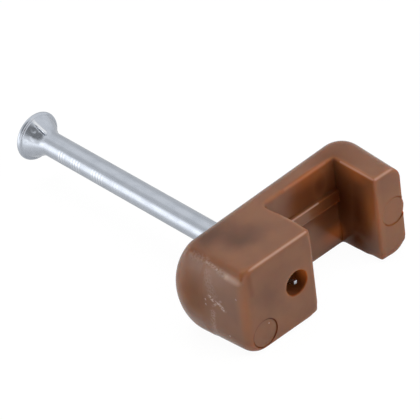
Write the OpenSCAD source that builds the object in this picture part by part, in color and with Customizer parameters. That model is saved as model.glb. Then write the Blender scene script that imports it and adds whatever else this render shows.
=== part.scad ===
// Nail-in cable clip: a moulded hook with a steel nail part way through its nail leg.
// The nail runs along +Y into the wall, the feet stand on the plane y = 0, and the cable runs along Z.
// The bridge goes from the nail leg towards -X. The origin is on the nail's axis, on the wall plane.

/* [Nail] */
// Diameter of the shank
nail_d = 2; // [1.6:0.1:2.4]
// Length from the top of the head to the tip
nail_length = 29.7; // [24:0.1:36]
// Diameter of the head
head_d = 4.1; // [3.4:0.1:5]
// Height of the rounded rim above the cone
head_rim = 0.5; // [0.3:0.05:0.8]
// Length of the cone from the rim down to the shank
head_cone = 1.35; // [0.8:0.05:2]
// Length of the cut point
point_length = 2.8; // [2:0.1:4]
// Width left flat at the very tip
tip_flat = 0.45; // [0.1:0.05:0.6]
// How far the two ridges that the heading dies leave on the cone stand out at the shank
ridge_proud = 0.25; // [0.1:0.05:0.4]
// Width of each ridge
ridge_width = 0.25; // [0.15:0.05:0.4]
// Turn of the ridges about the nail, from +X towards +Z
ridge_turn = 80; // [0:5:175]

/* [Fit] */
// Clearance around the shank in its bore, on the radius
bore_clearance = 0.06; // [0.02:0.01:0.1]
// How far the tip lies inside the foot before the nail is driven
tip_inset = 0.1; // [0:0.05:0.6]

/* [Clip] */
// Depth from the feet to the outside of the bridge
clip_depth = 7.5; // [7:0.1:9]
// Height at the bridge
clip_height = 8.2; // [7.6:0.1:10]
// Height at the feet
foot_height = 7.9; // [7:0.1:9.4]
// From the nail's axis to the nail end, at the widest
nail_end = 6.6; // [6:0.05:8]
// From the nail's axis to the nail end, above the foot's rounded edge
nail_end_foot = 5.45; // [4.6:0.05:6]
// Thickness of the closing leg at its foot
closing_leg = 2.7; // [2:0.05:3.6]
// How much the closing leg is thicker at the bridge than at its foot
closing_taper = 0.75; // [0.5:0.05:1.5]
// How much shorter the closing leg is than the nail leg
closing_step = 0.4; // [0.2:0.05:0.8]

/* [Channel] */
// Wall between the bore and the cable channel
bore_wall = 0.6; // [0.4:0.05:1]
// Width of the channel at the bridge
channel_width = 7.4; // [6:0.1:9]
// Depth of the channel
channel_depth = 4.75; // [4:0.05:5.2]
// How far the nail leg leans over the channel at the mouth
channel_lean = 0.25; // [0:0.05:0.4]
// Height of the grip rib, along the cable
rib_height = 1.1; // [0.6:0.1:1.6]
// How far the rib stands out of the bridge
rib_proud = 0.3; // [0.15:0.05:0.6]
// How much wider the rib is at its root, on each side
rib_draft = 0.08; // [0:0.02:0.2]
// How far the rib's middle lies above the middle of the clip
rib_raise = 0.65; // [-1.2:0.05:1.2]

/* [Rounding] */
// Radius of the nail end's corner with the outside of the bridge, at the middle of the height
nail_corner_r = 2.2; // [1.8:0.1:3.2]
// Radius of the closing end's corner with the outside of the bridge, at the middle of the height
closing_corner_r = 2.4; // [1.8:0.1:3.2]
// Radius of the bulge over the height at the nail end
nail_bulge_r = 6; // [5:0.5:12]
// Radius of the bulge over the height at the closing end
closing_bulge_r = 10; // [5:0.5:20]
// Radius of the long outer edges at the nail end
nail_edge_r = 1.2; // [0.5:0.1:1.6]
// Radius of the long outer edges at the closing end
closing_edge_r = 1.2; // [0.5:0.1:1.3]
// Radius of the nail foot's outer edge
foot_edge_r = 0.75; // [0.3:0.05:0.9]

/* [Ejector marks] */
// Radius of the ejector marks on the feet
mark_r = 1.2; // [0.8:0.05:1.4]
// Depth of the marks
mark_depth = 0.07; // [0.03:0.01:0.15]
// From the nail's axis to the nail foot's mark, along the bridge
mark_offset = 3.6; // [3:0.05:3.8]
// How far the nail foot's mark lies below the nail's axis
mark_drop = 2.55; // [2:0.05:2.6]
// How far the closing foot's mark reaches past that leg's outer side
ear_reach = 0.2; // [0.05:0.05:0.3]
// Thickness of the ear where the mark passes the leg's side
ear_depth = 0.4; // [0.2:0.05:0.8]

/* [Hidden] */
$fn = 64;
barrel_fn = 56;
foot_step = 15;
eps = 0.01;
margin = 2;
nail_r = nail_d / 2;
head_r = head_d / 2;
bore_r = nail_r + bore_clearance;
tip_y = -tip_inset;
head_y = tip_y - nail_length;
rim_r = head_rim / 2;
rim_y = head_y + rim_r;
shank_y = head_y + head_rim + head_cone;
web = bore_r + bore_wall;
channel_far = web + channel_width;
closing_foot_end = channel_far + closing_leg;
closing_end = closing_foot_end + closing_taper;
bridge_y = -channel_depth;
closing_foot_y = -closing_step;
mark_x = -(closing_foot_end + ear_reach - mark_r);

// A box from one corner to the opposite one
module block(low, high) {
    translate(low) cube(high - low);
}

// Lays a plan drawn in X and Y out along the cable, over a total height h
module along_cable(h) {
    translate([0, 0, -h / 2]) linear_extrude(height = h) children();
}

// A shape and its mirror image across the middle of the clip
module both_sides() {
    children();
    mirror([0, 0, 1]) children();
}

// A round bar from y0 to y1 on a line parallel to the nail
module bar(x, z, r, y0, y1) {
    translate([x, y0, z]) rotate([-90, 0, 0]) cylinder(r = r, h = y1 - y0);
}

// Half section of a barrel: its radius is r at the middle, its side bulges and its edges are rounded
module barrel_section(r, bulge_r, edge_r) {
    intersection() {
        offset(r = edge_r) intersection() {
            translate([r - bulge_r, 0]) circle(r = bulge_r - edge_r);
            square([2 * r, clip_height - 2 * edge_r], center = true);
        }
        translate([0, -clip_height]) square(2 * clip_height);
    }
}

// One round end of the bridge: a barrel on an axis along the cable, reaching out to x on the given side
module barrel(x, side, r, bulge_r, edge_r) {
    translate([x - side * r, r - clip_depth, 0])
        rotate_extrude($fn = barrel_fn) barrel_section(r, bulge_r, edge_r);
}

// The long outer edge of the closing leg where it comes down to its foot
module closing_foot_edge() {
    r = closing_edge_r;
    bar(r - closing_foot_end, foot_height / 2 - r, r, closing_foot_y - eps, closing_foot_y);
}

// The long outer edge of the nail leg, drawn in round the foot's rounded edge
module nail_foot_edge() {
    r = nail_edge_r;
    for (turn = [-foot_step:foot_step:90]) {
        x = nail_end_foot + foot_edge_r * (cos(turn) - 1);
        y = foot_edge_r * (sin(turn) - 1);
        bar(x - r, foot_height / 2 - r, r, y - eps, y);
    }
}

// The solid form before the channel is cut: one skin over the two ends of the bridge and the feet
module outer_form() {
    hull() {
        barrel(nail_end, 1, nail_corner_r, nail_bulge_r, nail_edge_r);
        barrel(-closing_end, -1, closing_corner_r, closing_bulge_r, closing_edge_r);
        both_sides() {
            closing_foot_edge();
            nail_foot_edge();
            block([-web, -eps, foot_height / 2 - eps], [-web + eps, 0, foot_height / 2]);
        }
    }
}

// Plan of the cable channel, open at the mouth and narrower there
module channel_plan() {
    lean_at = web + channel_lean * (1 + margin / channel_depth);
    polygon([[-web, bridge_y], [-lean_at, margin], [-channel_far, margin], [-channel_far, bridge_y]]);
}

// Side view of the grip rib, with its root inside the bridge
module rib_profile() {
    crest = rib_height / 2;
    root = crest + rib_draft;
    polygon([[-rib_proud, -root], [0, -root], [rib_proud, -crest], [rib_proud, crest], [0, root],
        [-rib_proud, root]]);
}

module rib() {
    translate([-channel_far - eps, bridge_y, rib_raise])
        rotate([90, 0, 90]) linear_extrude(height = channel_width + 2 * eps) rib_profile();
}

module clip_body() {
    color([0.42, 0.26, 0.18]) difference() {
        union() {
            difference() {
                outer_form();
                along_cable(clip_height + margin) channel_plan();
                block([-closing_end - margin, closing_foot_y, -clip_height],
                    [-channel_far + eps, margin, clip_height]);
            }
            rib();
            bar(mark_x, 0, mark_r, closing_foot_y - ear_depth, closing_foot_y - mark_depth);
        }
        bar(0, 0, bore_r, -clip_depth - margin, margin);
        bar(mark_offset, -mark_drop, mark_r, -mark_depth, margin);
        bar(mark_x, 0, mark_r, closing_foot_y - mark_depth, margin);
    }
}

// Half section of the nail, radius against distance along it
module nail_section() {
    rim_at = head_r - rim_r;
    translate([rim_at, rim_y]) circle(r = rim_r);
    polygon([[0, head_y], [rim_at, head_y], [rim_at + rim_r / 2, rim_y], [nail_r, shank_y], [nail_r, tip_y],
        [0, tip_y]]);
}

// Wedge that leaves the point's two opposite faces
module point_wedge() {
    half_tip = tip_flat / 2;
    point_y = tip_y - point_length;
    top_y = head_y - margin;
    along_cable(2 * head_d)
        polygon([[-head_d, top_y], [head_d, top_y], [head_d, point_y], [nail_r, point_y], [half_tip, tip_y],
            [-half_tip, tip_y], [-nail_r, point_y], [-head_d, point_y]]);
}

// Ridge on one side of the cone, rising out of it towards the shank and running out there at 45 degrees
module cone_ridge(turn) {
    crest = nail_r + ridge_proud;
    crest_y = shank_y - ridge_proud / 2;
    rotate([0, -turn, 0]) along_cable(ridge_width)
        polygon([[0, rim_y], [head_r - rim_r, rim_y], [crest, crest_y], [0, crest_y + crest]]);
}

module nail() {
    color([0.74, 0.76, 0.8]) {
        intersection() {
            rotate([-90, 0, 0]) mirror([0, 1, 0]) rotate_extrude() nail_section();
            point_wedge();
            rotate([0, 90, 0]) point_wedge();
        }
        cone_ridge(ridge_turn);
        cone_ridge(ridge_turn + 180);
    }
}

clip_body();
nail();
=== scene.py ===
"""Looks of the nail-in cable clip: a moulded brown clip and a zinc-plated nail, on a pale floor."""

import math

import bmesh
import bpy
import numpy as np
from mathutils import Matrix, Vector
from mathutils.kdtree import KDTree

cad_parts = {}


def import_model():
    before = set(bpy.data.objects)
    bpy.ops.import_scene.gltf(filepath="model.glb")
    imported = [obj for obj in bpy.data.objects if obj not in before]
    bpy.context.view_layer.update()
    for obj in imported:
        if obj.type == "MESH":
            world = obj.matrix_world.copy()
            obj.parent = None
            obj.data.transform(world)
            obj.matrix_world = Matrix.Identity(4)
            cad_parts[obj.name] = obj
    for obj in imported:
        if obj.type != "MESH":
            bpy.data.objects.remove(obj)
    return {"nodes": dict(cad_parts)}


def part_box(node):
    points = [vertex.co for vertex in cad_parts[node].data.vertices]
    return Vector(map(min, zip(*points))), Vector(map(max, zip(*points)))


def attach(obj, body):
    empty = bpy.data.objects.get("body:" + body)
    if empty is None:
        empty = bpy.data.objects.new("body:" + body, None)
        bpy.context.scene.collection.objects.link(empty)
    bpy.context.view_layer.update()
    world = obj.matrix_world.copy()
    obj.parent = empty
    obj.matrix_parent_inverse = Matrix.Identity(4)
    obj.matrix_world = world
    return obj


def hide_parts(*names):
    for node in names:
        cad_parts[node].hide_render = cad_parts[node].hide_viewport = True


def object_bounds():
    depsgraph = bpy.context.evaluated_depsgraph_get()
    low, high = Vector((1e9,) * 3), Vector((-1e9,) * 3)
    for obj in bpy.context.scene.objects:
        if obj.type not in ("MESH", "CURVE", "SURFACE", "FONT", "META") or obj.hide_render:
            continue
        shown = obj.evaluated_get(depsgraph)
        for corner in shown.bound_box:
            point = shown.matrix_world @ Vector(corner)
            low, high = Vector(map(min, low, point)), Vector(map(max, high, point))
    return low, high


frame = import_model()
cad_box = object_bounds()

# One millimetre in the scene's metres
MM = 0.001

# Camera: turn, height and roll in degrees, distance and aim in mm, focal length in pixels of the photograph
CAMERA_AZIMUTH = 141.30
CAMERA_ELEVATION = 37.32
CAMERA_ROLL = -7.84
CAMERA_DISTANCE = 280.0
CAMERA_AIM = (0.06, -9.0, 2.55)
FOCAL_PX = 3705.0
IMAGE_PX = 420
SENSOR_MM = 36.0

# Clip mesh, in mm, and the number of steps that a point's weight can take
VOXEL = 0.05
WEIGHT_LEVELS = 50
# Sharp edges of the CAD mesh: the angle that makes one, the distance for welding and the step along it
SHARP_ANGLE = math.radians(25)
WELD_DISTANCE = 1e-4
FEATURE_STEP = 0.1
# The skin is smoothed away from sharp edges and creases, and then all of it but the creases
FEATURE_NEAR = 0.12
FEATURE_FAR = 0.7
CREASE_NEAR = 0.05
CREASE_FAR = 0.25
SMOOTH_FACTOR = 0.5
SMOOTH_SKIN_PASSES = 120
SMOOTH_EDGE_PASSES = 14
SMOOTH_SOFT_PASSES = 250
# Edges that the mould left softer than the rest, as lines between two points, with reach and softness
SOFT_EDGES = [
    ((-1.91, 0.0, -3.95), (-1.91, 0.0, 3.95), 0.6, 0.35),
    ((-1.91, 0.0, -3.95), (4.7, 0.0, -3.95), 0.6, 0.35),
    ((-1.91, 0.0, 3.95), (4.7, 0.0, 3.95), 0.7, 0.45),
    ((-1.91, 0.0, -3.95), (-1.66, -4.2, -4.05), 0.6, 0.30),
    ((-1.91, 0.0, 3.95), (-1.66, -4.4, 4.05), 0.6, 0.18),
    ((-1.91, 0.0, -3.95), (-1.86, -0.4, -3.95), 1.1, 1.00),
    ((-1.91, 0.0, 3.95), (-1.88, -0.2, 3.95), 1.1, 0.80),
    ((-9.06, -0.4, -3.95), (-9.06, -0.4, 3.95), 0.6, 0.35),
    ((-9.06, -0.4, -3.95), (-9.06, -4.2, -4.05), 0.6, 0.30),
    ((-9.06, -0.4, -3.95), (-11.0, -0.4, -3.95), 1.0, 0.60),
    ((-9.06, -0.4, 3.95), (-11.0, -0.4, 3.95), 0.7, 0.45),
    ((-9.06, -0.4, 3.95), (-9.06, -4.75, 4.05), 0.5, 0.25),
    ((-1.66, -4.75, 4.08), (-9.06, -4.75, 4.08), 0.6, 0.32),
    ((-9.06, -0.4, -3.95), (-9.06, -0.8, -3.95), 1.5, 1.00),
    ((-1.70, -4.3, 4.05), (-2.50, -4.75, 4.05), 1.4, 0.80),
]
CLIP_TRIANGLES = 180000
# Smoothing for the larger-scale skin that edges and creases are told by
BULGE_FACTOR = 1.0
BULGE_PASSES = 300
# The mould's halves meet in this plane, and the bridge's half stands proud where it faces the nail end
PARTING_Y = -3.7
PARTING_STEP = 0.04
PARTING_BLEND = 0.45
PARTING_FACING = (0.3, 0.8)
# Sink marks over the thick leg: place on the top and bottom faces, reach along both axes, depth and facing
SINK_AT = (1.9, -3.1)
SINK_REACH = (2.2, 1.2)
SINK_DEPTH = 0.05
SINK_FACING = 0.7

# Nail mesh, in mm
NAIL_R = 1.0
HEAD_R = 2.05
RIM_R = 0.25
HEAD_CROWN = 0.06
HEAD_LENGTH = 1.85
NECK_BLEND = 0.20
# The cut point: half its width at the tip, and its length
TIP_HALF = 0.11
POINT_LENGTH = 2.8
# Die ridges on the cone: turn about the nail, height, half width and the softness of their sides
RIDGE_TURN = math.radians(80)
RIDGE_PROUD = 0.25
RIDGE_HALF = 0.125
RIDGE_SOFT = 0.02
# The seam of the dies beside each ridge: place round the nail, half width, depth and start along the cone
SEAM_SHIFT = -0.17
SEAM_HALF = 0.06
SEAM_DEPTH = 0.09
SEAM_START = (0.3, 0.6)
# Shares of the cone where the painted highlight on the ridges starts and ends
HIGHLIGHT_START = (0.0, 0.3)
HIGHLIGHT_END = (1.05, 0.9)
# Dents that heading left on the cone: turn about the nail, distance from the head's top, reach and depth
HEAD_DENTS = [
    (math.radians(58), 0.95, 0.30, 0.060),
    (math.radians(38), 1.20, 0.35, -0.040),
    (math.radians(66), 1.45, 0.22, -0.030),
    (math.radians(104), 0.80, 0.30, 0.030),
    (math.radians(20), 0.75, 0.30, 0.020),
]
# Points round the nail, rings on the head's top from a first share of its reach, and rings round its rim
NAIL_SIDES = 256
TOP_RINGS = 8
TOP_FIRST = 0.1
RIM_RINGS = 12
# The least gap between the rim's last ring and the first one along the nail
RIM_CLEAR = 0.01
# Rings along the nail: margins past the head and before the point, and the step along each stretch
HEAD_MARGIN = 0.6
POINT_MARGIN = 0.2
HEAD_STEP = 0.035
SHANK_STEP = 0.4
POINT_STEP = 0.08
GRIP_RINGS = 5
# Gripper marks: groups as distance from the head's top, length and strength, and then what shapes a mark
GRIP_GROUPS = [(3.7, 1.0, 0.6), (5.3, 1.3, 0.5), (7.7, 1.5, 0.5), (10.0, 1.0, 0.2), (12.2, 0.6, 0.15)]
GRIP_PITCH = 0.3
GRIP_DEPTH = 0.030
GRIP_TURN = math.radians(12)
GRIP_REACH = math.radians(34)
GRIP_WAVE = (-0.2, 0.9)
GRIP_FADE = 0.25

# Brown plastic, linear colours: the base, a darker tone for flow marks and painted shade patches, a painted
# glow at edges, a painted highlight, painted shade for creases and the channel's depth, and pale scuffs
# with painted glints
PLASTIC_BASE = (0.193, 0.075, 0.029)
PLASTIC_DARK = (0.098, 0.037, 0.015)
PLASTIC_EDGE_GLOW = (0.255, 0.092, 0.029)
PLASTIC_HIGHLIGHT = (0.400, 0.262, 0.200)
PLASTIC_PAINTED_SHADE = (0.056, 0.010, 0.003)
PLASTIC_PALE = (0.520, 0.400, 0.345)
PLASTIC_IOR = 1.47
# How far light spreads inside, for each colour, and its scale
GLOW_RADIUS = (1.0, 0.35, 0.12)
GLOW_SCALE = 0.8 * MM
# How far the skin stands out where an edge begins and is full, and how much painted glow that edge gets,
# and the same for a crease, with its painted shade
EDGE_BULGE = (0.03, 0.12)
EDGE_GLOW_TINT = 0.4
CREASE_BULGE = (-0.03, -0.12)
CREASE_SHADE_TINT = 0.6
# Noise, with its scale in features a mm, and ramps as the noise's low and high and the values there
FLOW_NOISE = {"scale": 0.55, "detail": 4.0}
FLOW_RAMP = (0.35, 0.7, 0.0, 0.25)
SCUFF_NOISE = {"scale": 6.0, "detail": 5.0}
SCUFF_RAMP = (0.35, 0.62, 0.05, 1.0)
GLOSS_NOISE = {"scale": 1.6, "detail": 4.0}
GLOSS_RAMP = (0.3, 0.7, 0.11, 0.17)
GRAIN_NOISE = {"scale": 9.0, "detail": 4.0}
# What scuffs and glints add to the roughness, how much flow marks and painted shade patches dull the gloss,
# and the specular level from shade
SCUFF_ROUGH = 0.3
FLOW_SHADE = 0.2
SPECULAR_RAMP = (0.0, 0.6, 0.56, 0.0)
# Grain, and scuffs with their painted glints, in the bump
GRAIN_HEIGHT = 0.25
SCUFF_HEIGHT = 0.4
PLASTIC_BUMP = {"Strength": 0.35, "Distance": 0.02 * MM}
# Painted highlights along edges, the rib and the nail end's corner, as lines between two points in mm, with
# the half width in mm and how pale they are
EDGE_HIGHLIGHTS = [
    ((4.5, -0.06, 3.89), (-1.5, -0.06, 3.89), 0.18, 0.68),
    ((-9.3, -0.46, 3.89), (-11.2, -0.46, 3.84), 0.18, 0.58),
    ((-9.10, -4.0, 4.00), (-9.10, -0.6, 3.92), 0.15, 0.45),
    ((-4.0, -4.79, 4.06), (-8.2, -4.79, 4.06), 0.20, 0.14),
    ((-3.0, -4.45, 1.2), (-6.8, -4.45, 1.2), 0.16, 0.55),
    ((-3.0, -4.45, 0.1), (-5.6, -4.45, 0.1), 0.12, 0.25),
    ((-1.75, -2.6, 4.00), (-1.85, -0.6, 3.92), 0.40, 0.20),
    ((5.40, -1.55, 3.20), (5.30, -0.45, 3.06), 0.40, 0.50),
]
# Painted shade in fine creases at the nail foot's rounded edge, as lines in the same way, with how dark
# they are
CREASE_LINE_SHADE = [
    ((4.55, 0.0, 3.45), (4.40, 0.0, 1.60), 0.38, 0.24),
    ((5.20, -0.35, 2.90), (4.95, -0.15, 3.75), 0.14, 0.50),
]
# Painted shade patches, darker places on the nail leg's top, foot and end and along the top edge: middle
# and reach in mm, and how dark they are
SHADE_PATCHES = [
    ((1.9, -3.1, 4.1), (3.0, 1.8, 1.0), 0.95),
    ((3.3, -5.2, 4.1), (3.4, 2.1, 1.0), 1.00),
    ((0.0, -6.9, 3.8), (14.0, 0.8, 1.2), 0.70),
    ((2.6, 0.0, 0.8), (2.2, 0.6, 3.0), 0.35),
    ((6.4, -4.2, 1.6), (1.0, 0.7, 3.4), 0.28),
]
# Painted shade in the deep parts of the channel, which are darker and less glossy: middle and reach in mm,
# and how dark
DEEP_PAINTED_SHADE = [
    ((-9.0, -4.7, 0.6), (4.2, 4.4, 5.8), 0.95),
    ((-6.1, -4.85, 2.0), (4.2, 0.45, 4.5), 0.85),
    ((-9.0, -2.4, 0.0), (0.6, 3.2, 5.8), 0.80),
    ((-8.9, -4.8, -1.6), (2.0, 1.0, 1.8), 0.70),
    ((-9.0, -2.9, -2.9), (0.6, 2.6, 2.4), 0.58),
    ((-7.4, -4.85, 2.2), (2.4, 0.45, 2.6), 0.95),
]
# Places on the nail end that are less glossy: middle and reach in mm, and how much less
SATIN_PARTS = [
    ((6.4, -4.7, 0.8), (1.8, 3.4, 5.4), 0.40),
    ((6.0, -6.2, 0.0), (1.7, 2.4, 5.5), 0.50),
    ((6.1, -4.4, -3.2), (1.6, 4.5, 2.2), 0.55),
]
# Painted light, warmer and brighter, on the closing leg and along the nail end's edges: middle and reach in
# mm, and how warm
WARM_PAINTED_LIGHT = [
    ((-9.3, -0.6, 0.2), (1.1, 2.2, 4.8), 0.80),
    ((-10.6, -0.4, 0.0), (2.0, 1.0, 5.0), 0.55),
    ((5.15, -0.30, 0.4), (0.7, 0.8, 4.6), 1.00),
    ((6.30, -5.9, 0.8), (0.9, 1.4, 4.8), 0.50),
]
# Painted glow, as emission, for light through the bore's thin wall and the channel's edges: middle and
# reach in mm, and glow
BORE_WALL_GLOW = ((-1.06, -0.3, 0.35), (1.2, 1.3, 1.3), 0.12)
CHANNEL_EDGE_GLOW = [
    ((-6.4, -4.80, 4.0), (3.2, 0.5, 1.4), 0.085),
    ((-9.0, -2.40, 3.8), (0.5, 2.6, 1.5), 0.085),
    ((-8.2, -4.80, -2.9), (2.2, 0.9, 1.3), 0.090),
    ((-9.0, -0.70, 1.2), (0.5, 1.4, 4.2), 0.050),
]
PLASTIC_GLOW_COLOUR = (1.0, 0.22, 0.035)
# The bore's wall: distances in mm from the nail's axis, the painted shade and painted glow there, and the
# axes across it
BORE_WALL_R = (1.07, 1.16)
BORE_SHADE = 0.75
BORE_GLOW = 0.012
ACROSS_NAIL = (1, 0, 1)
# Painted shade in the creases round the ejector marks: the middle, radius and half width in mm
MARK_RING_SHADE = [((3.6, -0.03, -2.55), 1.2, 0.09), ((-10.76, -0.43, 0.0), 1.2, 0.09)]
# Scuffs and specks on the nail leg, partly painted glints where the rounded edge and an ejector mark's rim
# catch the light, as lines between two points in mm, with the half width and how pale
SCUFFS_AND_GLINTS = [
    ((5.41, -4.90, 3.56), (5.32, -3.72, 3.56), 0.55, 0.18),
    ((5.32, -3.72, 3.56), (5.38, -2.39, 3.37), 0.25, 0.38),
    ((5.38, -2.39, 3.37), (5.42, -1.52, 3.21), 0.40, 0.20),
    ((6.07, -3.01, 1.06), (5.99, -2.71, 0.74), 0.24, 0.75),
    ((5.99, -2.71, 0.74), (5.88, -2.30, 0.59), 0.20, 0.50),
    ((5.88, -2.30, 0.59), (5.76, -1.82, 0.04), 0.24, 0.70),
    ((6.02, -2.75, 0.20), (5.86, -2.05, 0.85), 0.16, 0.55),
    ((6.16, -3.38, 0.66), (6.16, -3.34, 0.58), 0.10, 0.90),
    ((6.16, -3.40, 0.20), (6.15, -3.34, 0.10), 0.09, 0.70),
    ((6.03, -2.85, -0.42), (5.90, -3.08, -2.36), 0.38, 0.30),
    ((5.95, -3.30, 2.90), (6.10, -2.60, 1.20), 0.60, 0.18),
    ((5.46, -0.70, 1.52), (5.46, -0.66, 1.46), 0.09, 0.80),
    ((5.70, -1.70, -2.33), (5.70, -1.62, -2.33), 0.09, 0.80),
    ((3.10, -0.07, -1.90), (3.08, -0.07, -1.90), 0.10, 0.90),
]

# Zinc plating, linear colours: the base, dull patches and a painted highlight on the ridges and gripper
# marks
ZINC_BASE = (0.515, 0.550, 0.610)
ZINC_DULL = (0.465, 0.500, 0.560)
ZINC_HIGHLIGHT = (0.800, 0.820, 0.850)
# Drawing lines along the wire and dull patches: noise with its stretch along each axis, and ramps as above
DRAWN_NOISE = {"scale": 1.0, "detail": 3.0, "stretch": (14.0, 0.35, 14.0)}
DULL_NOISE = {"scale": 2.2, "detail": 5.0, "stretch": (1.0, 0.4, 1.0)}
DULL_RAMP = (0.35, 0.7, 0.0, 1.0)
DRAWN_ROUGH_RAMP = (0.3, 0.7, 0.20, 0.27)
DULL_ROUGH = 0.05
ZINC_BUMP = {"Strength": 0.25, "Distance": 0.01 * MM}

# Light: the world's strength on the object, its darker and brighter parts in reflections, and the lamps
WORLD_FILL = 0.25
REFLECTED_PARTS = [
    {"towards": (0.52, 0.38, 0.77), "inner": 0.93, "outer": 0.83, "gain": -0.72},
    {"towards": (0.45, -0.62, 0.64), "inner": 0.985, "outer": 0.93, "gain": -0.26},
    {"towards": (-0.76, -0.62, 0.19), "inner": 0.99, "outer": 0.80, "gain": -0.26},
    {"towards": (0.76, -0.62, 0.17), "inner": 1.0, "outer": 0.94, "gain": 0.85},
    {"towards": (0.93, -0.28, 0.10), "inner": 0.985, "outer": 0.935, "gain": 1.00},
]
FLOOR_COLOUR = (0.66, 0.66, 0.66)
FLOOR_GLOW = 0.93
FLOOR_WHITE = 1.03
# The floor in reflections: the share that glows, and how strongly from one place to another along +X, in mm
FLOOR_GLOW_MIRRORED = 0.65
FLOOR_MIRRORED_REACH = (0.0, 26.0)
FLOOR_MIRRORED_WHITE = (0.69, 2.0)
FLOOR_ROUGHNESS = 0.12
FLOOR_SIZE = 3.0
SOFT_BOXES = [
    {"name": "side_box", "towards": (0.80, -0.58, 0.18), "size": (0.28, 0.40), "watts": 0.55},
    {"name": "front_box", "towards": (-0.50, 0.60, 0.62), "size": (0.40, 0.40), "watts": 1.80},
    {"name": "top_box", "towards": (0.0, -0.1, 1.0), "size": (0.40, 0.40), "watts": 2.02},
    {"name": "foot_box", "towards": (0.20, 0.95, 0.20), "size": (0.30, 0.30), "watts": 0.84},
    {"name": "end_box", "towards": (0.95, 0.10, 0.20), "size": (0.30, 0.30), "watts": 0.60},
]
LAMP_DISTANCE = 0.55


def smoothstep(low, high, value):
    """0 below low, 1 above high and a smooth rise between; low may be the larger one."""
    t = np.clip((value - low) / (high - low), 0.0, 1.0)
    return t * t * (3 - 2 * t)


# Camera

def photo_camera():
    """The camera of the photograph, aimed at its middle with no shift."""
    azimuth, elevation, roll = (math.radians(d) for d in (CAMERA_AZIMUTH, CAMERA_ELEVATION, CAMERA_ROLL))
    back = Vector((math.sin(azimuth) * math.cos(elevation), -math.cos(azimuth) * math.cos(elevation),
                   math.sin(elevation)))
    level = Vector((math.cos(azimuth), math.sin(azimuth), 0))
    rise = back.cross(level)
    right = math.cos(roll) * level + math.sin(roll) * rise
    up = math.cos(roll) * rise - math.sin(roll) * level
    data = bpy.data.cameras.new("photo_camera")
    data.sensor_width = SENSOR_MM
    data.lens = FOCAL_PX * SENSOR_MM / IMAGE_PX
    camera = bpy.data.objects.new("photo_camera", data)
    bpy.context.scene.collection.objects.link(camera)
    place = (Vector(CAMERA_AIM) + CAMERA_DISTANCE * back) * MM
    turn = Matrix((right, up, back)).transposed().to_4x4()
    camera.matrix_world = Matrix.Translation(place) @ turn
    bpy.context.scene.camera = camera


# Meshes

def new_piece(name, mesh, body, node, material):
    """Puts a finished mesh, in mm, into the scene in place of its CAD node."""
    mesh.transform(Matrix.Scale(MM, 4))
    mesh.shade_smooth()
    mesh.materials.clear()
    mesh.materials.append(material)
    piece = bpy.data.objects.new(name, mesh)
    bpy.context.scene.collection.objects.link(piece)
    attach(piece, body)
    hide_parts(node)


def with_modifier(mesh, kind, group=None, **settings):
    """A new mesh: the given one with one modifier applied. group gives a weight for each point."""
    holder = bpy.data.objects.new("modelling", mesh)
    bpy.context.scene.collection.objects.link(holder)
    modifier = holder.modifiers.new("step", kind)
    for key, value in settings.items():
        setattr(modifier, key, value)
    if group is not None:
        weights = holder.vertex_groups.new(name="weight")
        steps = np.round(group * WEIGHT_LEVELS).astype(int)
        for level in np.unique(steps):
            if level:
                members = np.flatnonzero(steps == level).tolist()
                weights.add(members, level / WEIGHT_LEVELS, "REPLACE")
        modifier.vertex_group = weights.name
    done = holder.evaluated_get(bpy.context.evaluated_depsgraph_get())
    result = bpy.data.meshes.new_from_object(done)
    bpy.data.objects.remove(holder)
    bpy.data.meshes.remove(mesh)
    return result


def points_of(mesh):
    """The mesh's points as an array."""
    flat = np.zeros(len(mesh.vertices) * 3, np.float32)
    mesh.vertices.foreach_get("co", flat)
    return flat.reshape(-1, 3)


def normals_of(mesh):
    """The mesh's point normals as an array."""
    flat = np.zeros(len(mesh.vertices) * 3, np.float32)
    mesh.vertices.foreach_get("normal", flat)
    return flat.reshape(-1, 3)


def set_points(mesh, points):
    """Writes an array of points back to the mesh."""
    mesh.vertices.foreach_set("co", points.astype(np.float32).ravel())
    mesh.update()


def add_values(mesh, name, values):
    """Gives each point a named value for the material to read."""
    mesh.attributes.new(name, "FLOAT", "POINT").data.foreach_set("value", values.astype(np.float32))


def line_gaps(points, start, end):
    """Distance of each point from a line between two points."""
    a, run = np.array(start), np.array(end) - np.array(start)
    share = np.clip((points - a) @ run / (run @ run), 0, 1)
    return np.linalg.norm(points - a - share[:, None] * run, axis=1)


def sharp_edge_gaps(mesh, points, convex):
    """Distance of each point from a mesh's sharp outer edges or, where convex is false, its creases."""
    work = bmesh.new()
    work.from_mesh(mesh)
    bmesh.ops.remove_doubles(work, verts=work.verts, dist=WELD_DISTANCE)
    marks = []
    for edge in work.edges:
        sharp = len(edge.link_faces) == 2 and edge.calc_face_angle() > SHARP_ANGLE
        if sharp and edge.is_convex == convex:
            a, b = (v.co.copy() for v in edge.verts)
            count = max(1, math.ceil((b - a).length / FEATURE_STEP))
            marks.extend(a.lerp(b, i / count) for i in range(count + 1))
    work.free()
    tree = KDTree(len(marks))
    for i, mark in enumerate(marks):
        tree.insert(mark, i)
    tree.balance()
    return np.array([tree.find(p)[2] for p in points])


def bulges(mesh):
    """How far each point stands out of a smoother skin: above 0 at edges and below 0 in creases."""
    smoothed = with_modifier(mesh.copy(), "SMOOTH", factor=BULGE_FACTOR, iterations=BULGE_PASSES)
    out = ((points_of(mesh) - points_of(smoothed)) * normals_of(mesh)).sum(axis=1)
    bpy.data.meshes.remove(smoothed)
    return out


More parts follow.
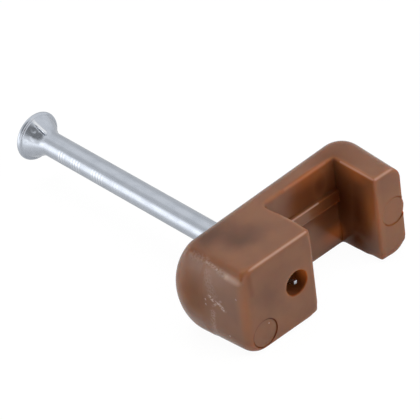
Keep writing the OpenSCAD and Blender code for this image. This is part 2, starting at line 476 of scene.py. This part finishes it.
def clip_mesh():
    """The moulding: the CAD form with a smooth skin, soft edges, the parting step and the sink marks."""
    mesh = frame["nodes"]["clip_body"].data.copy()
    mesh.transform(Matrix.Scale(1 / MM, 4))
    cad = mesh.copy()
    mesh = with_modifier(mesh, "REMESH", mode="VOXEL", voxel_size=VOXEL)
    points = points_of(mesh)
    edge_gap = sharp_edge_gaps(cad, points, True)
    crease_gap = sharp_edge_gaps(cad, points, False)
    skin = smoothstep(FEATURE_NEAR, FEATURE_FAR, np.minimum(edge_gap, crease_gap))
    mesh = with_modifier(mesh, "SMOOTH", skin, factor=SMOOTH_FACTOR, iterations=SMOOTH_SKIN_PASSES)
    open_edges = smoothstep(CREASE_NEAR, CREASE_FAR, crease_gap)
    mesh = with_modifier(mesh, "SMOOTH", open_edges, factor=SMOOTH_FACTOR, iterations=SMOOTH_EDGE_PASSES)
    points = points_of(mesh)
    soft = np.zeros(len(points))
    for start, end, reach, softness in SOFT_EDGES:
        soft = np.maximum(soft, softness * smoothstep(reach, reach / 2, line_gaps(points, start, end)))
    mesh = with_modifier(mesh, "SMOOTH", soft, factor=SMOOTH_FACTOR, iterations=SMOOTH_SOFT_PASSES)
    points = points_of(mesh)
    normals = normals_of(mesh)
    bridge_half = smoothstep(PARTING_Y + PARTING_BLEND / 2, PARTING_Y - PARTING_BLEND / 2, points[:, 1])
    end_side = smoothstep(*PARTING_FACING, normals[:, 0]) * (points[:, 0] > 0)
    sink_gap = np.linalg.norm((points[:, :2] - SINK_AT) / SINK_REACH, axis=1)
    sink = smoothstep(1, 0, sink_gap) * (np.abs(normals[:, 2]) > SINK_FACING)
    shift = PARTING_STEP * bridge_half * end_side - SINK_DEPTH * sink
    add_values(mesh, "bulge", bulges(mesh))
    set_points(mesh, points + normals * shift[:, None])
    triangles = 2 * len(mesh.polygons)
    return with_modifier(mesh, "DECIMATE", ratio=min(1.0, CLIP_TRIANGLES / triangles))


def nail_rings(head_y, tip_y):
    """Places along the nail for its rings of points, close together where there is detail."""
    start, length, _ = GRIP_GROUPS[-1]
    neck_end = head_y + HEAD_LENGTH + HEAD_MARGIN
    grip_end = head_y + start + length
    point_start = tip_y - POINT_LENGTH - POINT_MARGIN
    spans = [
        (head_y, neck_end, HEAD_STEP),
        (neck_end, grip_end, GRIP_PITCH / GRIP_RINGS),
        (grip_end, point_start, SHANK_STEP),
        (point_start, tip_y, POINT_STEP),
    ]
    places = [np.linspace(a, b, math.ceil((b - a) / step), endpoint=False) for a, b, step in spans]
    return np.concatenate([*places, [tip_y]])


def turn_gap(turn, middle):
    """Signed angle from a middle to each turn, the short way round."""
    return (turn - middle + math.pi) % (2 * math.pi) - math.pi


def grip_marks(y, turn, head_y):
    """How strong the lines are that the grippers press into the shank on two sides, and 0 elsewhere."""
    waves = smoothstep(*GRIP_WAVE, np.sin(2 * math.pi * (y - head_y) / GRIP_PITCH))
    marks = np.zeros(len(turn))
    for side in (0, math.pi):
        reach = smoothstep(GRIP_REACH, GRIP_REACH / 2, np.abs(turn_gap(turn, GRIP_TURN + side)))
        for start, length, strength in GRIP_GROUPS:
            along = y - head_y - start
            group = smoothstep(0, GRIP_FADE, along) * smoothstep(length, length - GRIP_FADE, along)
            marks = marks + strength * waves * reach * group
    return marks


def ridge_and_grip_highlight(y, turn, head_y):
    """1 where a highlight is painted on the plating: on the cone's ridges, and less in the gripper marks.
    """
    along = (y - head_y - RIM_R) / (HEAD_LENGTH - RIM_R)
    on_cone = smoothstep(*HIGHLIGHT_START, along) * smoothstep(*HIGHLIGHT_END, along)
    bright = grip_marks(y, turn, head_y)
    for side in (0, math.pi):
        gap = np.abs(turn_gap(turn, RIDGE_TURN + side)) * NAIL_R
        bright = np.maximum(bright, on_cone * smoothstep(RIDGE_HALF, 0, gap))
    return bright


def nail_radius(y, turn, head_y, tip_y):
    """Radius of the nail at places below the head's rim and turns about it."""
    rim_y = head_y + RIM_R
    shank_y = head_y + HEAD_LENGTH
    cone_top = HEAD_R - RIM_R / 2
    along = (y - rim_y) / (shank_y - rim_y)
    cone = cone_top + (NAIL_R - cone_top) * along
    flare = np.clip(NECK_BLEND - np.abs(cone - NAIL_R), 0, None)
    body = np.maximum(cone, NAIL_R) + flare ** 2 / (4 * NECK_BLEND)
    lift = np.clip(RIM_R ** 2 - (y - rim_y) ** 2, 0, None)
    rim = HEAD_R - RIM_R + np.sqrt(lift)
    radius = np.where(y < rim_y + RIM_R, np.maximum(rim, body), body)
    crest = NAIL_R + RIDGE_PROUD
    crest_y = shank_y - RIDGE_PROUD / 2
    rise = HEAD_R - RIM_R + (crest - HEAD_R + RIM_R) * (y - rim_y) / (crest_y - rim_y)
    ridge = np.minimum(rise, crest - (y - crest_y))
    for side in (0, math.pi):
        gap = turn_gap(turn, RIDGE_TURN + side) * radius
        factor = smoothstep(RIDGE_HALF + RIDGE_SOFT, RIDGE_HALF - RIDGE_SOFT, np.abs(gap))
        seam = smoothstep(SEAM_HALF, SEAM_HALF / 3, np.abs(gap - SEAM_SHIFT))
        seam = seam * smoothstep(*SEAM_START, along) * (along < 1)
        radius = radius + np.clip(ridge - radius, 0, None) * factor * (y > rim_y + RIM_R)
        radius = radius - SEAM_DEPTH * seam
    for dent_turn, place, reach, depth in HEAD_DENTS:
        gap = np.hypot(turn_gap(turn, dent_turn) * radius, y - head_y - place)
        radius = radius - depth * smoothstep(reach, 0, gap)
    radius = radius - GRIP_DEPTH * grip_marks(y, turn, head_y)
    half = TIP_HALF + (NAIL_R - TIP_HALF) * np.clip((tip_y - y) / POINT_LENGTH, 0, 1)
    flats = half / np.maximum(np.abs(np.cos(turn)), np.abs(np.sin(turn)))
    return np.where(y > tip_y - POINT_LENGTH, np.minimum(radius, flats), radius)


def nail_mesh():
    """The nail: a turned form with die ridges on the cone, gripper marks on the shank and a cut point."""
    low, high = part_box("nail")
    head_y, tip_y = low.y / MM, high.y / MM
    turn = np.arange(NAIL_SIDES) * 2 * math.pi / NAIL_SIDES
    rows = []
    for share in np.linspace(TOP_FIRST, 1, TOP_RINGS):
        reach = (HEAD_R - RIM_R) * share
        rows.append((np.full(NAIL_SIDES, reach), np.full(NAIL_SIDES, head_y + HEAD_CROWN * share ** 2)))
    for angle in np.linspace(0, math.pi / 2, RIM_RINGS)[1:]:
        reach = HEAD_R - RIM_R + RIM_R * math.sin(angle)
        drop = HEAD_CROWN + (RIM_R - HEAD_CROWN) * (1 - math.cos(angle))
        rows.append((np.full(NAIL_SIDES, reach), np.full(NAIL_SIDES, head_y + drop)))
    for y in nail_rings(head_y, tip_y):
        if y > head_y + RIM_R + RIM_CLEAR:
            level = np.full(NAIL_SIDES, y)
            rows.append((nail_radius(level, turn, head_y, tip_y), level))
    points = [(0, head_y, 0)]
    for reach, y in rows:
        points.extend(zip(reach * np.cos(turn), y, reach * np.sin(turn)))
    points.append((0, tip_y, 0))
    faces = []
    last = len(points) - 1
    final = 1 + (len(rows) - 1) * NAIL_SIDES
    for i in range(NAIL_SIDES):
        j = (i + 1) % NAIL_SIDES
        faces.append((0, 1 + i, 1 + j))
        faces.append((final + j, final + i, last))
        for row in range(len(rows) - 1):
            here = 1 + row * NAIL_SIDES
            faces.append((here + j, here + i, here + NAIL_SIDES + i, here + NAIL_SIDES + j))
    mesh = bpy.data.meshes.new("plated_nail")
    mesh.from_pydata(points, [], faces)
    mesh.validate()
    x, y, z = points_of(mesh).T
    # A painted highlight on the cone's ridges and gripper marks, for the material
    add_values(mesh, "ridge_and_grip_highlight", ridge_and_grip_highlight(y, np.arctan2(z, x), head_y))
    return mesh


# Materials

def add(tree, kind, inputs=None, **settings):
    """A new shader node with its settings, and its inputs set to values or linked from sockets."""
    made = tree.nodes.new(kind)
    for key, value in settings.items():
        setattr(made, key, value)
    for key, value in (inputs or {}).items():
        if isinstance(value, bpy.types.NodeSocket):
            tree.links.new(value, made.inputs[key])
        else:
            made.inputs[key].default_value = value
    return made


def maths(tree, operation, a, b):
    """One sum on two values or sockets."""
    return add(tree, "ShaderNodeMath", {0: a, 1: b}, operation=operation).outputs["Value"]


def vectors(tree, operation, inputs, result="Vector"):
    """One sum on vectors, which gives a vector or, with the result "Value", a number."""
    return add(tree, "ShaderNodeVectorMath", inputs, operation=operation).outputs[result]


def new_material(name):
    """A material, its node tree and plain Principled shader, and the object's own coordinates in mm."""
    material = bpy.data.materials.new(name)
    material.use_nodes = True
    tree = material.node_tree
    shader = tree.nodes["Principled BSDF"]
    place = add(tree, "ShaderNodeTexCoord").outputs["Object"]
    mm = vectors(tree, "SCALE", {0: place, "Scale": 1 / MM})
    return material, tree, shader, mm


def noise(tree, mm, scale, detail, stretch=None):
    """Noise over the object, with scale in features a mm and an optional stretch for each axis."""
    if stretch:
        mm = vectors(tree, "MULTIPLY", {0: mm, 1: stretch})
    return add(tree, "ShaderNodeTexNoise", {"Vector": mm, "Scale": scale, "Detail": detail}).outputs["Fac"]


def remap(tree, value, low, high, out_low, out_high):
    """A value's span from low to high taken to another span, smoothly and with no overshoot."""
    inputs = {"Value": value, "From Min": low, "From Max": high, "To Min": out_low, "To Max": out_high}
    return add(tree, "ShaderNodeMapRange", inputs, interpolation_type="SMOOTHSTEP").outputs["Result"]


def mix_colour(tree, factor, a, b):
    """A mix of two colours, each given as a tuple or a socket."""
    made = add(tree, "ShaderNodeMix", data_type="RGBA")
    for name, kind, value in (("Factor", "VALUE", factor), ("A", "RGBA", a), ("B", "RGBA", b)):
        socket = next(s for s in made.inputs if s.name == name and s.type == kind)
        if isinstance(value, bpy.types.NodeSocket):
            tree.links.new(value, socket)
        else:
            socket.default_value = (*value, 1)
    return next(s for s in made.outputs if s.type == "RGBA")


def line_mask(tree, mm, start, end, half_width, peak):
    """The peak on a line between two points, fading to 0 at the half width."""
    run = Vector(end) - Vector(start)
    local = vectors(tree, "SUBTRACT", {0: mm, 1: start})
    along = vectors(tree, "DOT_PRODUCT", {0: local, 1: run / run.length_squared}, "Value")
    share = add(tree, "ShaderNodeClamp", {"Value": along}).outputs["Result"]
    nearest = vectors(tree, "SCALE", {0: run, "Scale": share})
    gap = vectors(tree, "DISTANCE", {0: local, 1: nearest}, "Value")
    return remap(tree, gap, 0.0, half_width, peak, 0.0)


def blob_mask(tree, mm, middle, reach, peak):
    """The peak at a place, fading to 0 at the reach along each axis."""
    local = vectors(tree, "SUBTRACT", {0: mm, 1: middle})
    scaled = vectors(tree, "DIVIDE", {0: local, 1: reach})
    gap = vectors(tree, "LENGTH", {0: scaled}, "Value")
    return remap(tree, gap, 0.0, 1.0, peak, 0.0)


def ring_mask(tree, mm, middle, radius, half_width):
    """1 on a circle round a middle, fading to 0 at the half width."""
    gap = vectors(tree, "DISTANCE", {0: mm, 1: middle}, "Value")
    off = add(tree, "ShaderNodeMath", {0: maths(tree, "SUBTRACT", gap, radius)}, operation="ABSOLUTE")
    return remap(tree, off.outputs["Value"], 0.0, half_width, 1.0, 0.0)


def highest(tree, mm, start, mask, places):
    """The highest of a start value and the mask of each place."""
    value = start
    for place in places:
        value = maths(tree, "MAXIMUM", value, mask(tree, mm, *place))
    return value


def brown_plastic():
    """Satin brown plastic, a little translucent, with flow marks and pale scuffs, and painted light and
    shade: a glow at edges and thin walls, highlights along edges and glints, and shade in creases, the
    channel, the bore and patches.
    """
    material, tree, shader, mm = new_material("brown_plastic")
    bulge = add(tree, "ShaderNodeAttribute", attribute_name="bulge").outputs["Fac"]
    from_axis = vectors(tree, "LENGTH", {0: vectors(tree, "MULTIPLY", {0: mm, 1: ACROSS_NAIL})}, "Value")
    in_bore = remap(tree, from_axis, *BORE_WALL_R, 1.0, 0.0)
    # Painted glow: a lighter, warmer colour on outer edges and on the warm places
    edge = remap(tree, bulge, *EDGE_BULGE, 0.0, EDGE_GLOW_TINT)
    edge = highest(tree, mm, edge, blob_mask, WARM_PAINTED_LIGHT)
    # Painted shade: a darker colour in creases, round the ejector marks, in fine creases, in the channel's
    # deep parts and in the bore
    painted_shade = remap(tree, bulge, *CREASE_BULGE, 0.0, CREASE_SHADE_TINT)
    painted_shade = highest(tree, mm, painted_shade, ring_mask, MARK_RING_SHADE)
    painted_shade = highest(tree, mm, painted_shade, line_mask, CREASE_LINE_SHADE)
    painted_shade = highest(tree, mm, painted_shade, blob_mask, DEEP_PAINTED_SHADE)
    painted_shade = maths(tree, "MAXIMUM", painted_shade, maths(tree, "MULTIPLY", in_bore, BORE_SHADE))
    # Painted highlights along edges
    painted_highlight = highest(tree, mm, 0.0, line_mask, EDGE_HIGHLIGHTS)
    # Flow marks as random darker tone, with the painted shade patches added
    dark = remap(tree, noise(tree, mm, **FLOW_NOISE), *FLOW_RAMP)
    for shade_patch in SHADE_PATCHES:
        dark = maths(tree, "ADD", dark, blob_mask(tree, mm, *shade_patch))
    # Pale scuffs, partly painted glints, broken up by noise
    broken = remap(tree, noise(tree, mm, **SCUFF_NOISE), *SCUFF_RAMP)
    scuff_and_glint = maths(tree, "MULTIPLY", highest(tree, mm, 0.0, line_mask, SCUFFS_AND_GLINTS), broken)

    # The colour: flow tone with painted shade patches, then painted shade, painted edge glow, painted
    # highlights, and scuffs with painted glints
    colour = mix_colour(tree, dark, PLASTIC_BASE, PLASTIC_DARK)
    colour = mix_colour(tree, painted_shade, colour, PLASTIC_PAINTED_SHADE)
    colour = mix_colour(tree, edge, colour, PLASTIC_EDGE_GLOW)
    colour = mix_colour(tree, painted_highlight, colour, PLASTIC_HIGHLIGHT)
    colour = mix_colour(tree, scuff_and_glint, colour, PLASTIC_PALE)
    tree.links.new(colour, shader.inputs["Base Color"])

    # Painted glow, as emission, in the bore and at the channel's edges
    bore_glow = maths(tree, "ADD", blob_mask(tree, mm, *BORE_WALL_GLOW), BORE_GLOW)
    glow = highest(tree, mm, maths(tree, "MULTIPLY", in_bore, bore_glow), blob_mask, CHANNEL_EDGE_GLOW)
    tree.links.new(glow, shader.inputs["Emission Strength"])
    shader.inputs["Emission Color"].default_value = (*PLASTIC_GLOW_COLOUR, 1)

    gloss = remap(tree, noise(tree, mm, **GLOSS_NOISE), *GLOSS_RAMP)
    rough = maths(tree, "ADD", gloss, maths(tree, "MULTIPLY", scuff_and_glint, SCUFF_ROUGH))
    tree.links.new(rough, shader.inputs["Roughness"])
    shade = maths(tree, "MAXIMUM", painted_shade, maths(tree, "MULTIPLY", dark, FLOW_SHADE))
    shade = highest(tree, mm, shade, blob_mask, SATIN_PARTS)
    tree.links.new(remap(tree, shade, *SPECULAR_RAMP), shader.inputs["Specular IOR Level"])
    shader.inputs["IOR"].default_value = PLASTIC_IOR

    # Painted highlights and scuffs take away the subsurface scattering
    highlight_and_scuff = maths(tree, "MAXIMUM", painted_highlight, scuff_and_glint)
    tree.links.new(maths(tree, "SUBTRACT", 1.0, highlight_and_scuff), shader.inputs["Subsurface Weight"])
    shader.inputs["Subsurface Radius"].default_value = GLOW_RADIUS
    shader.inputs["Subsurface Scale"].default_value = GLOW_SCALE

    grain = maths(tree, "MULTIPLY", noise(tree, mm, **GRAIN_NOISE), GRAIN_HEIGHT)
    height = maths(tree, "ADD", grain, maths(tree, "MULTIPLY", scuff_and_glint, SCUFF_HEIGHT))
    bump = add(tree, "ShaderNodeBump", {**PLASTIC_BUMP, "Height": height})
    tree.links.new(bump.outputs["Normal"], shader.inputs["Normal"])
    return material


def zinc_steel():
    """Bright zinc plating with drawing lines along the wire, dull patches and a painted highlight on the
    ridges and gripper marks.
    """
    material, tree, shader, mm = new_material("zinc_steel")
    lines = noise(tree, mm, **DRAWN_NOISE)
    dull = remap(tree, noise(tree, mm, **DULL_NOISE), *DULL_RAMP)
    # Painted highlight on the ridges and gripper marks
    bright = add(tree, "ShaderNodeAttribute", attribute_name="ridge_and_grip_highlight").outputs["Fac"]
    colour = mix_colour(tree, dull, ZINC_BASE, ZINC_DULL)
    colour = mix_colour(tree, bright, colour, ZINC_HIGHLIGHT)
    tree.links.new(colour, shader.inputs["Base Color"])
    shader.inputs["Metallic"].default_value = 1.0
    rough = remap(tree, lines, *DRAWN_ROUGH_RAMP)
    rough = maths(tree, "ADD", rough, maths(tree, "MULTIPLY", dull, DULL_ROUGH))
    tree.links.new(rough, shader.inputs["Roughness"])
    bump = add(tree, "ShaderNodeBump", {**ZINC_BUMP, "Height": lines})
    tree.links.new(bump.outputs["Normal"], shader.inputs["Normal"])
    return material


# Stage

def floor():
    """A pale, slightly glossy floor, nearly white to the camera, which keeps the object's shadow."""
    material = bpy.data.materials.new("pale_floor")
    material.use_nodes = True
    tree = material.node_tree
    plain = tree.nodes["Principled BSDF"]
    plain.inputs["Base Color"].default_value = (*FLOOR_COLOUR, 1)
    plain.inputs["Roughness"].default_value = FLOOR_ROUGHNESS
    path = add(tree, "ShaderNodeLightPath").outputs
    place = add(tree, "ShaderNodeTexCoord").outputs["Object"]
    along = add(tree, "ShaderNodeSeparateXYZ", {"Vector": place}).outputs["X"]
    reach = [mm * MM for mm in FLOOR_MIRRORED_REACH]
    far = remap(tree, along, *reach, *FLOOR_MIRRORED_WHITE)
    strength = add(tree, "ShaderNodeMix", {"Factor": path["Is Camera Ray"], "A": far, "B": FLOOR_WHITE})
    white = add(tree, "ShaderNodeEmission", {"Strength": strength.outputs["Result"]}).outputs["Emission"]
    seen = maths(tree, "MULTIPLY", path["Is Camera Ray"], FLOOR_GLOW)
    mirrored = maths(tree, "MULTIPLY", path["Is Glossy Ray"], FLOOR_GLOW_MIRRORED)
    share = maths(tree, "MAXIMUM", seen, mirrored)
    mixed = add(tree, "ShaderNodeMixShader", {0: share, 1: plain.outputs["BSDF"], 2: white})
    tree.links.new(mixed.outputs["Shader"], tree.nodes["Material Output"].inputs["Surface"])
    half = FLOOR_SIZE / 2
    z = cad_box[0].z
    mesh = bpy.data.meshes.new("floor")
    corners = [(-half, -half, z), (half, -half, z), (half, half, z), (-half, half, z)]
    mesh.from_pydata(corners, [], [(0, 1, 2, 3)])
    mesh.materials.append(material)
    piece = bpy.data.objects.new("floor", mesh)
    bpy.context.scene.collection.objects.link(piece)


def world():
    """White to the camera, a plain fill on the object, and darker and brighter parts in reflections."""
    scene = bpy.context.scene
    scene.world = bpy.data.worlds.new("studio")
    scene.world.use_nodes = True
    tree = scene.world.node_tree
    background = tree.nodes["Background"]
    background.inputs["Color"].default_value = (1, 1, 1, 1)
    towards = add(tree, "ShaderNodeTexCoord").outputs["Generated"]
    seen = 1.0
    for part in REFLECTED_PARTS:
        middle = Vector(part["towards"]).normalized()
        near = vectors(tree, "DOT_PRODUCT", {0: towards, 1: middle}, "Value")
        seen = maths(tree, "ADD", seen, remap(tree, near, part["outer"], part["inner"], 0.0, part["gain"]))
    path = add(tree, "ShaderNodeLightPath").outputs
    lit = maths(tree, "MAXIMUM", path["Is Glossy Ray"], path["Is Transmission Ray"])
    strength = add(tree, "ShaderNodeMix", {"Factor": lit, "A": WORLD_FILL, "B": seen}).outputs["Result"]
    strength = maths(tree, "MAXIMUM", strength, path["Is Camera Ray"])
    tree.links.new(strength, background.inputs["Strength"])


def soft_box(name, towards, size, watts):
    """A rectangular lamp that faces the object from the given direction and isn't seen in reflections."""
    data = bpy.data.lights.new(name, "AREA")
    data.shape = "RECTANGLE"
    data.size, data.size_y = size
    data.energy = watts
    lamp = bpy.data.objects.new(name, data)
    bpy.context.scene.collection.objects.link(lamp)
    lamp.visible_glossy = False
    back = Vector(towards).normalized()
    turn = back.to_track_quat("Z", "Y").to_matrix().to_4x4()
    lamp.matrix_world = Matrix.Translation(back * LAMP_DISTANCE) @ turn


photo_camera()
new_piece("clip_moulding", clip_mesh(), "clip", "clip_body", brown_plastic())
new_piece("plated_nail", nail_mesh(), "nail", "nail", zinc_steel())
floor()
world()
for box in SOFT_BOXES:
    soft_box(**box)
bpy.context.scene.view_settings.view_transform = "Standard"
